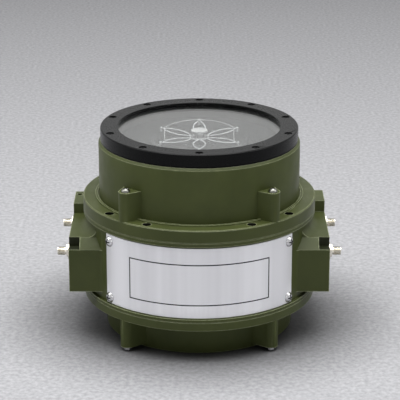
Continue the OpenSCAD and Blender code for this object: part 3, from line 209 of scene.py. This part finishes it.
def clearGlass(name, tint, rough=0.0):
    # Lets shadow rays through, so the light reaches what lies behind it
    mat, tree, shader = newFinish(name)
    shader.inputs["Base Color"].default_value = tint
    shader.inputs["Transmission Weight"].default_value = 1.0
    shader.inputs["IOR"].default_value = pane["bend"]
    smears = noiseIn(tree, pane["smears"], rough=0.6)
    tree.links.new(rangeIn(tree, smears, rough, rough + pane["smearSpread"]), shader.inputs["Roughness"])
    path = tree.nodes.new("ShaderNodeLightPath")
    through = tree.nodes.new("ShaderNodeBsdfTransparent")
    through.inputs["Color"].default_value = (pane["shadowPass"],) * 3 + (1,)
    both = tree.nodes.new("ShaderNodeMixShader")
    tree.links.new(path.outputs["Is Shadow Ray"], both.inputs["Fac"])
    tree.links.new(shader.outputs["BSDF"], both.inputs[1])
    tree.links.new(through.outputs["BSDF"], both.inputs[2])
    out = next(n for n in tree.nodes if n.type == "OUTPUT_MATERIAL")
    tree.links.new(both.outputs["Shader"], out.inputs["Surface"])
    return mat


# A mottled finish has its name, two tones, patch scale and roughness, then what is special to it
finishes = {
    "olive": olivePaint(),
    "ring": mottled("blackRing", (2, 3, 3), (5, 6, 6), 60, 0.27, grain=1800, depth=0.05, shine=0.16),
    # Paler step walls: painted highlight on the deck's upright faces
    "deckRim": mottled("paintedHighlightDeckStep", (112, 113, 112), (124, 125, 124), 60, 0.4, shine=0.3),
    "blackSteel": mottled("blackenedSteel", (10, 10, 10), (16, 16, 17), 300, 0.45, metal=0.3),
    # Near black bore finish: painted shade for screw holes and cross recesses
    "bore": mottled("paintedShadeBore", (9, 10, 7), (14, 15, 10), 300, 0.6, shine=0.1),
    "steel": mottled("brightSteel", (196, 196, 198), (222, 222, 224), 400, 0.24, metal=1.0),
    "boltSteel": mottled("tieBoltSteel", (118, 118, 112), (150, 150, 144), 400, 0.3, metal=1.0),
    "deckScrew": mottled("deckScrewSteel", (70, 71, 71), (84, 85, 85), 300, 0.45, shine=0.2),
    "nickel": mottled("nickelPlate", (222, 216, 202), (240, 235, 222), 350, 0.2, metal=1.0),
    "plate": brushedPlate(),
    # Dark olive: painted shade for the corner notches
    "shade": mottled("paintedShadeOlive", (30, 34, 18), (38, 42, 24), 22, 0.5, shine=0.15),
    "inlay": mottled("borderFill", (5, 5, 7), (9, 9, 11), 500, 0.6, shine=0.05),
    "glass": clearGlass("windowGlass", (0.97, 0.985, 0.98, 1)),
    "codeGlass": clearGlass("codeGlass", (0.8, 0.9, 0.95, 1), 0.05),
    "gyroGlass": mottled("gyroGlass", (196, 190, 150), (214, 208, 172), 40, 0.12, grain=200, depth=0.01),
    "rod": mottled("glassRod", (150, 152, 152), (168, 170, 170), 200, 0.16, depth=0.01, shine=0.3),
    "wire": mottled("tipWire", (116, 117, 116), (132, 133, 132), 200, 0.2, depth=0.01),
    "deck": mottled("greyDeck", (40, 41, 40), (50, 51, 50), 26, 0.55, grain=260, depth=0.01, shine=0.08),
    "bowl": mottled("windowBore", (70, 71, 69), (80, 81, 79), 26, 0.5, grain=1200, depth=0.03, shine=0.1),
    "hub": mottled("hubCeramic", (136, 137, 136), (152, 153, 152), 200, 0.45, shine=0.2),
    "rubber": mottled("blackRubber", (16, 16, 16), (26, 26, 26), 200, 0.7, grain=700, depth=0.1),
    "white": mottled("socketInsulator", (226, 224, 214), (240, 238, 230), 300, 0.45),
    "gold": mottled("goldPlate", (212, 174, 92), (232, 196, 116), 300, 0.25, metal=1.0),
    "groundSteel": mottled("groundSteel", (170, 172, 176), (196, 198, 202), 300, 0.2, metal=1.0),
    "turnedSteel": mottled("turnedSteel", (140, 141, 145), (166, 167, 171), 90, 0.32, metal=1.0, depth=0.05),
    "laminations": mottled("laminations", (84, 86, 92), (104, 106, 112), 80, 0.45, metal=0.8, depth=0.1,
                           stretch=(1, 1, 9)),
    "copper": mottled("copperWinding", (168, 92, 44), (204, 122, 66), 240, 0.32, metal=0.9, grain=1400,
                      depth=0.2, stretch=(1, 1, 4)),
    "magnet": mottled("nickelMagnet", (158, 158, 160), (186, 186, 188), 200, 0.28, metal=1.0),
    "plastic": mottled("blackPlastic", (22, 22, 24), (32, 32, 34), 120, 0.5, depth=0.06),
    "board": mottled("solderMask", (14, 66, 36), (24, 86, 50), 90, 0.35, grain=500, depth=0.08),
    "case": mottled("supplyCase", (74, 92, 118), (88, 106, 132), 120, 0.4, metal=0.4),
    "aluminium": mottled("machinedAluminium", (176, 177, 180), (200, 201, 204), 120, 0.3, metal=1.0,
                         grain=1100, depth=0.05),
    "brass": mottled("electrodeBrass", (184, 146, 78), (206, 168, 98), 200, 0.3, metal=1.0),
    "mirror": mottled("beamMirror", (226, 226, 230), (236, 236, 240), 200, 0.06, metal=1.0, grain=300,
                      depth=0.01),
}


# Mesh helpers

def addPiece(name, mesh, finish, body, nodes=(), sharp=32):
    piece = bpy.data.objects.new(name, mesh)
    scene.collection.objects.link(piece)
    mesh.materials.clear()
    mesh.materials.append(finishes[finish])
    mesh.polygons.foreach_set("use_smooth", [True] * len(mesh.polygons))
    mesh.set_sharp_from_angle(angle=math.radians(sharp))
    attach(piece, body)
    if nodes:
        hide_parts(*nodes)
    return piece


def meshFrom(name, verts, faces):
    mesh = bpy.data.meshes.new(name)
    mesh.from_pydata([[c * mm for c in v] for v in verts], [], faces)
    mesh.update()
    return mesh


def joined(parts):
    verts, faces = [], []
    for partVerts, partFaces in parts:
        start = len(verts)
        verts += partVerts
        faces += [[start + i for i in face] for face in partFaces]
    return verts, faces


def moved(part, matrix):
    verts, faces = part
    return [tuple(matrix @ Vector(v)) for v in verts], faces


def turned(profile, steps, closed=True):
    # Turns a profile of (radius, height) points round the upright axis
    verts, faces = [], []
    count = len(profile)
    for i in range(steps):
        a = 2 * math.pi * i / steps
        verts += [(r * math.cos(a), r * math.sin(a), z) for r, z in profile]
    last = count if closed else count - 1
    for i in range(steps):
        j = (i + 1) % steps
        for k in range(last):
            n = (k + 1) % count
            faces.append([i * count + k, j * count + k, j * count + n, i * count + n])
    return verts, faces


def eased(profile, radius, segments=2, mostShare=0.45):
    # Rounds every corner of a closed profile by a small radius, and takes no more than a share of a side
    out = []
    count = len(profile)
    for i, here in enumerate(profile):
        p = Vector(here)
        before = Vector(profile[i - 1]) - p
        after = Vector(profile[(i + 1) % count]) - p
        cut = min(radius, before.length * mostShare, after.length * mostShare)
        a, b = p + before.normalized() * cut, p + after.normalized() * cut
        for s in range(segments + 1):
            t = s / segments
            out.append(tuple((1 - t) ** 2 * a + 2 * t * (1 - t) * p + t * t * b))
    return out


easing = {"weld": 2e-6, "flat": 0.4, "segments": 2, "bend": 28}


def softened(node, finish, body, width, bend=easing["bend"]):
    # The node's own shape with its sharp edges eased as a casting's or a turned part's are
    mesh = cadNodes[node].data.copy()
    bm = bmesh.new()
    bm.from_mesh(mesh)
    bmesh.ops.remove_doubles(bm, verts=bm.verts, dist=easing["weld"])
    bmesh.ops.dissolve_limit(bm, angle_limit=math.radians(easing["flat"]), verts=bm.verts, edges=bm.edges)
    bm.to_mesh(mesh)
    bm.free()
    piece = addPiece(node + "_finished", mesh, finish, body, (node,))
    edge = piece.modifiers.new("easedEdges", "BEVEL")
    edge.width = width * mm
    edge.segments = easing["segments"]
    edge.limit_method = "ANGLE"
    edge.angle_limit = math.radians(bend)
    edge.use_clamp_overlap = True
    edge.harden_normals = True
    return piece


def fromFront(angle, radius):
    a = math.radians(angle - 90)
    return radius * math.cos(a), radius * math.sin(a)


def lined(piece, finish, chosen):
    # Gives the faces that a test picks by middle, in millimetres, and normal a finish of their own
    piece.data.materials.append(finishes[finish])
    place = len(piece.data.materials) - 1
    for face in piece.data.polygons:
        if chosen(face.center / mm, face.normal):
            face.material_index = place


print("housing")

housing = {"castEdge": 0.55, "ringEdge": 0.4, "boltCircle": 100.6, "boreRadius": 4.2,
           "holeAngles": (27.2, 52.8, 114.4, 127.2, 152.8), "windowBore": 79, "windowLow": 168,
           "notchX": 108.1, "notchY": -44.9, "notchLow": 75}


def inScrewHole(at, normal):
    for angle in housing["holeAngles"]:
        for side in (-1, 1):
            holeX, holeY = fromFront(side * angle, housing["boltCircle"])
            if math.hypot(at.x - holeX, at.y - holeY) < housing["boreRadius"]:
                return True
    return False


def inWindowBore(at, normal):
    return math.hypot(at.x, at.y) < housing["windowBore"] and at.z > housing["windowLow"]


def inCornerNotch(at, normal):
    return abs(at.x) > housing["notchX"] and at.y < housing["notchY"] and at.z > housing["notchLow"]


lowerPan = softened("base_cover", "olive", "housing", housing["castEdge"])
# Screw holes in the pan get painted shade
lined(lowerPan, "bore", inScrewHole)
castBody = softened("main_body", "olive", "housing", housing["castEdge"])
# The corner notches get painted shade
lined(castBody, "shade", inCornerNotch)
upperDrum = softened("upper_cover", "olive", "housing", housing["castEdge"])
# Screw holes in the drum get painted shade
lined(upperDrum, "bore", inScrewHole)
lined(upperDrum, "bowl", inWindowBore)
softened("window_bezel", "ring", "housing", housing["ringEdge"])


print("nameplate")

plate = {"edge": 0.12, "bend": 40, "borderRadius": 104.95, "borderHalfAngle": 36.32, "borderFoot": 11.7,
         "borderHeight": 39, "line": 1.1, "steps": 96}


def borderStrip(fromAngle, toAngle, lowZ, highZ, steps):
    verts, faces = [], []
    for i in range(steps + 1):
        x, y = fromFront(fromAngle + (toAngle - fromAngle) * i / steps, plate["borderRadius"])
        verts += [(x, y, lowZ), (x, y, highZ)]
    for i in range(steps):
        faces.append([2 * i, 2 * i + 2, 2 * i + 3, 2 * i + 1])
    return verts, faces


def borderInlay():
    # Dark filling in the plate's engraved border
    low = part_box("nameplate")[0].z / mm + plate["borderFoot"]
    high = low + plate["borderHeight"]
    half, line = plate["borderHalfAngle"], plate["line"]
    turn = math.degrees(line / plate["borderRadius"])
    parts = [borderStrip(-half, half, high - line, high, plate["steps"]),
             borderStrip(-half, half, low, low + line, plate["steps"]),
             borderStrip(-half, turn - half, low + line, high - line, 2),
             borderStrip(half - turn, half, low + line, high - line, 2)]
    addPiece("nameplate_border", meshFrom("border", *joined(parts)), "inlay", "housing", ())


softened("nameplate", "plate", "housing", plate["edge"], plate["bend"])
borderInlay()


print("fasteners")

fasteners = {"screwEdge": 0.12, "nutEdge": 0.2, "slotLeast": 0.3, "slotFloor": 0.99, "slotWall": 0.2,
             "plateHeadHeight": 2.6, "tieHeadHeight": 3.3}


def awayFromSpindle(at):
    return Vector((at.x, at.y, 0)).normalized()


def straightUp(at):
    return Vector((0, 0, 1))


def inCross(outward, reach, headHeight):
    # Picks the walls and the floor of the cross recess in a domed head, which get painted shade
    def chosen(at, normal):
        axis = outward(at)
        depth = reach - at.dot(axis)
        facing = normal.dot(axis)
        wall = abs(facing) < fasteners["slotWall"]
        floor = facing > fasteners["slotFloor"] and depth > fasteners["slotLeast"]
        return depth < headHeight and (wall or floor)
    return chosen


def crossHeadScrews(node, finish, outward, headHeight):
    screws = softened(node, finish, "housing", fasteners["screwEdge"])
    points = [v.co / mm for v in screws.data.vertices]
    reach = max(p.dot(outward(p)) for p in points)
    # The cross recess gets painted shade
    lined(screws, "bore", inCross(outward, reach, headHeight))


crossHeadScrews("nameplate_screws", "steel", awayFromSpindle, fasteners["plateHeadHeight"])
crossHeadScrews("tie_bolts", "boltSteel", straightUp, fasteners["tieHeadHeight"])
softened("tie_bolt_nuts", "steel", "housing", fasteners["nutEdge"])


print("coaxial sockets")

socket = {"flange": 7.8, "flangeDepth": 1.4, "flangeEase": 0.25, "flangeSteps": 48, "hexWidth": 12,
          "hexDepth": 1.6, "hexEase": 0.2, "seat": 0.02, "barrel": 4, "length": 11.2, "wall": 1.3,
          "cup": 6, "bore": 1.4, "tail": 2.6, "tailLength": 11, "lip": 0.6, "lipIn": 0.1, "lipEase": 0.15,
          "neckIn": 0.2, "neckFoot": 0.1, "neckLength": 1.3, "threadStart": 1.1, "threadStop": 0.4,
          "pitch": 0.8, "threadDepth": 0.35, "around": 40, "perTurn": 6, "sharp": 40,
          "out": 118, "along": 38, "height": 80.8}


def threadedBarrel(start, end):
    # An open spiral thread between two distances from the block's face
    around, pitch, depth = socket["around"], socket["pitch"], socket["threadDepth"]
    rows = int((end - start) / pitch * socket["perTurn"])
    verts, faces = [], []
    for row in range(rows + 1):
        z = start + (end - start) * row / rows
        fade = min(1, (z - start) / pitch, (end - z) / pitch)
        for i in range(around):
            phase = (z / pitch - i / around) % 1
            r = socket["barrel"] - depth * abs(2 * phase - 1) * fade
            r -= (1 - fade) * depth / 2
            a = 2 * math.pi * i / around
            verts.append((r * math.cos(a), r * math.sin(a), z))
    for row in range(rows):
        here, above = row * around, (row + 1) * around
        for i in range(around):
            j = (i + 1) % around
            faces.append([here + i, here + j, above + j, above + i])
    return verts, faces


def barrelShell(core):
    # The rounded rim, the cup in the end and the tail inside the block
    inner, length = socket["barrel"] - socket["wall"], socket["length"]
    rim, cupFloor = core - socket["lipIn"], length - socket["cup"]
    profile = [(rim, length - socket["lip"]), (rim, length - socket["lipIn"]),
               (rim - socket["lipEase"], length), (inner + socket["lipIn"], length),
               (inner, length - socket["lipEase"]), (inner, cupFloor), (socket["bore"], cupFloor),
               (socket["bore"], -socket["tailLength"]), (socket["tail"], -socket["tailLength"]),
               (socket["tail"], socket["seat"])]
    return turned(profile, socket["around"], False)


def coaxSocket(name, side, end):
    tail, seat, flange, hexRadius = socket["tail"], socket["seat"], socket["flange"], socket["hexWidth"] / 2
    hexZ, barrelZ = socket["flangeDepth"], socket["flangeDepth"] + socket["hexDepth"]
    core = socket["barrel"] - socket["threadDepth"]
    neck = core - socket["neckIn"]
    discLine = [(tail, seat), (flange, seat), (flange, hexZ), (tail, hexZ)]
    hexLine = [(tail, hexZ), (hexRadius, hexZ), (hexRadius, barrelZ), (tail, barrelZ)]
    neckLine = [(neck, barrelZ - socket["neckFoot"]), (neck, barrelZ + socket["neckLength"])]
    parts = [barrelShell(core), turned(eased(discLine, socket["flangeEase"]), socket["flangeSteps"]),
             turned(eased(hexLine, socket["hexEase"]), 6), turned(neckLine, socket["around"], False),
             threadedBarrel(barrelZ + socket["threadStart"], socket["length"] - socket["threadStop"])]
    outwards = Matrix.Rotation(math.radians(90 * side), 4, "Y")
    place = Matrix.Translation(Vector((side * socket["out"], end * socket["along"], socket["height"])))
    verts, faces = moved(joined(parts), place @ outwards)
    mesh = meshFrom(name, verts, faces)
    addPiece(name + "_threaded", mesh, "nickel", "housing", (name,), socket["sharp"])


for name, side, end in (("coax_front_left", -1, -1), ("coax_front_right", 1, -1),
                        ("coax_rear_left", -1, 1), ("coax_rear_right", 1, 1)):
    coaxSocket(name, side, end)


print("window")

window = {"edge": 0.35}
softened("window_glass", "glass", "housing", window["edge"])


print("turning head")

head = {"deckEdge": 0.3, "upright": 0.5}


def onDeckStep(at, normal):
    # Picks the deck's upright step walls, which take a painted highlight
    return abs(normal.z) < head["upright"]


deck = softened("head_deck", "deck", "rotor", head["deckEdge"])
# The deck's upright step walls get a paler painted highlight
lined(deck, "deckRim", onDeckStep)


print("carried nodes")

carried = {
    "blackSteel": ["bezel_screws", "upper_cover_screws", "base_cover_screws"],
    "rubber": ["housing_seals", "window_gasket", "isolators"],
    "white": ["coax_insulators"],
    "gold": ["coax_pins", "board_standoffs", "slip_ring_rotor"],
    "groundSteel": ["bearing_outer_races", "bearing_inner_races", "bearing_balls"],
    "turnedSteel": ["spindle_shaft", "shaft_nut", "bearing_retainer", "dither_wheels"],
    "laminations": ["motor_stator", "motor_rotor"],
    "copper": ["motor_windings"],
    "magnet": ["motor_magnets"],
    "codeGlass": ["encoder_disc"],
    "plastic": ["encoder_read_head", "slip_ring_stator"],
    "board": ["power_board", "navigation_board", "gyro_board"],
    "case": ["high_voltage_supply"],
    "aluminium": ["turntable", "sensor_block", "deck_pillars", "accelerometers"],
    "gyroGlass": ["gyro_block_x", "gyro_block_y", "gyro_block_z"],
    "mirror": ["gyro_mirrors_x", "gyro_mirrors_y", "gyro_mirrors_z"],
    "brass": ["gyro_electrodes_x", "gyro_electrodes_y", "gyro_electrodes_z"],
    "deckScrew": ["deck_screws"],
    "rod": ["light_loops", "loop_mirrors"],
    "wire": ["loop_ring"],
    "hub": ["beam_hub"],
}
for finish, names in carried.items():
    for name in names:
        mesh = cadNodes[name].data
        mesh.materials.clear()
        mesh.materials.append(finishes[finish])


print("floor, light and camera")

# The front and back factors are a painted light across the floor; the shadow values set a painted contact
# shadow
ground = {"half": 4000, "tone": (178, 178, 181), "darker": 17, "paler": 13, "specks": 230,
          "speckStops": (0.33, 0.67), "front": 0.9, "back": 1.06, "paintedLightSpan": (-0.5, 1.2),
          "paintedShadowReach": 0.1, "paintedShadowPower": 1.6, "rough": 0.6}


def floorFinish():
    # Fine specks, paler towards the back as painted light, and a painted deep shadow where the object stands
    # close over it
    mat, tree, shader = newFinish("paleFloor")
    darker = [s - ground["darker"] for s in ground["tone"]]
    paler = [s + ground["paler"] for s in ground["tone"]]
    specks = noiseIn(tree, ground["specks"], detail=3, rough=0.6)
    body = rampIn(tree, specks, ground["speckStops"], (darker, paler))
    split = tree.nodes.new("ShaderNodeSeparateXYZ")
    tree.links.new(placeIn(tree), split.inputs["Vector"])
    # Painted light, darker at the front and paler towards the back
    depth = rangeIn(tree, split.outputs["Y"], ground["front"], ground["back"], ground["paintedLightSpan"])
    # Painted shadow where the object stands close over the floor
    close = tree.nodes.new("ShaderNodeAmbientOcclusion")
    close.samples = 12
    close.inputs["Distance"].default_value = ground["paintedShadowReach"]
    paintedContactShade = mathIn(tree, "POWER", close.outputs["AO"], ground["paintedShadowPower"])
    shaded = tree.nodes.new("ShaderNodeVectorMath")
    shaded.operation = "SCALE"
    tree.links.new(body, shaded.inputs[0])
    tree.links.new(mathIn(tree, "MULTIPLY", depth, paintedContactShade), shaded.inputs["Scale"])
    tree.links.new(shaded.outputs["Vector"], shader.inputs["Base Color"])
    shader.inputs["Roughness"].default_value = ground["rough"]
    return mat


def makeFloor():
    h = ground["half"]
    mesh = meshFrom("floor", [(-h, -h, 0), (h, -h, 0), (h, h, 0), (-h, h, 0)], [[0, 1, 2, 3]])
    mesh.materials.append(floorFinish())
    floor = bpy.data.objects.new("floor", mesh)
    scene.collection.objects.link(floor)


def areaLight(name, place, aim, size, power):
    lamp = bpy.data.lights.new(name, "AREA")
    lamp.shape = "RECTANGLE"
    lamp.size, lamp.size_y = size
    lamp.energy = power
    holder = bpy.data.objects.new(name, lamp)
    holder.location = place
    holder.rotation_euler = (Vector(aim) - Vector(place)).to_track_quat("-Z", "Y").to_euler()
    scene.collection.objects.link(holder)


air = {"light": 0.08, "seen": 0.66}


def studioAir():
    # The room lights softly, and shows brighter in metal and glass, as a pale room does
    world = bpy.data.worlds.new("studioAir")
    world.use_nodes = True
    tree = world.node_tree
    back = tree.nodes["Background"]
    back.inputs["Color"].default_value = (1, 1, 1, 1)
    path = tree.nodes.new("ShaderNodeLightPath")
    seen = path.outputs["Is Camera Ray"]
    for ray in ("Is Glossy Ray", "Is Transmission Ray"):
        seen = mathIn(tree, "MAXIMUM", seen, path.outputs[ray])
    tree.links.new(rangeIn(tree, seen, air["light"], air["seen"], (0, 1)), back.inputs["Strength"])
    scene.world = world


lights = {
    "keyAbove": {"place": (-0.02, -0.1, 1.5), "aim": (-0.02, -0.02, 0.1), "size": (1.6, 1.4), "power": 34.0},
    "frontFill": {"place": (-0.1, -1.9, 0.45), "aim": (0, 0, 0.1), "size": (0.8, 0.5), "power": 1.9},
    "leftPanel": {"place": (-1.4, -0.2, 1.2), "aim": (0, 0, 0.1), "size": (0.8, 0.8), "power": 7.0},
    "rightPanel": {"place": (1.4, -0.2, 1.2), "aim": (0, 0, 0.1), "size": (0.8, 0.8), "power": 7.0},
}

makeFloor()
studioAir()
for name, light in lights.items():
    areaLight(name, **light)

camera = {"place": (0, -1.5435, 0.6503), "tilt": 70.923, "lens": 158.715, "sensor": 36, "shiftX": 0.001875}
lens = bpy.data.cameras.new("photoCamera")
lens.lens = camera["lens"]
lens.sensor_width = camera["sensor"]
lens.shift_x = camera["shiftX"]
eye = bpy.data.objects.new("photoCamera", lens)
eye.location = camera["place"]
eye.rotation_euler = (math.radians(camera["tilt"]), 0, 0)
scene.collection.objects.link(eye)
scene.camera = eye
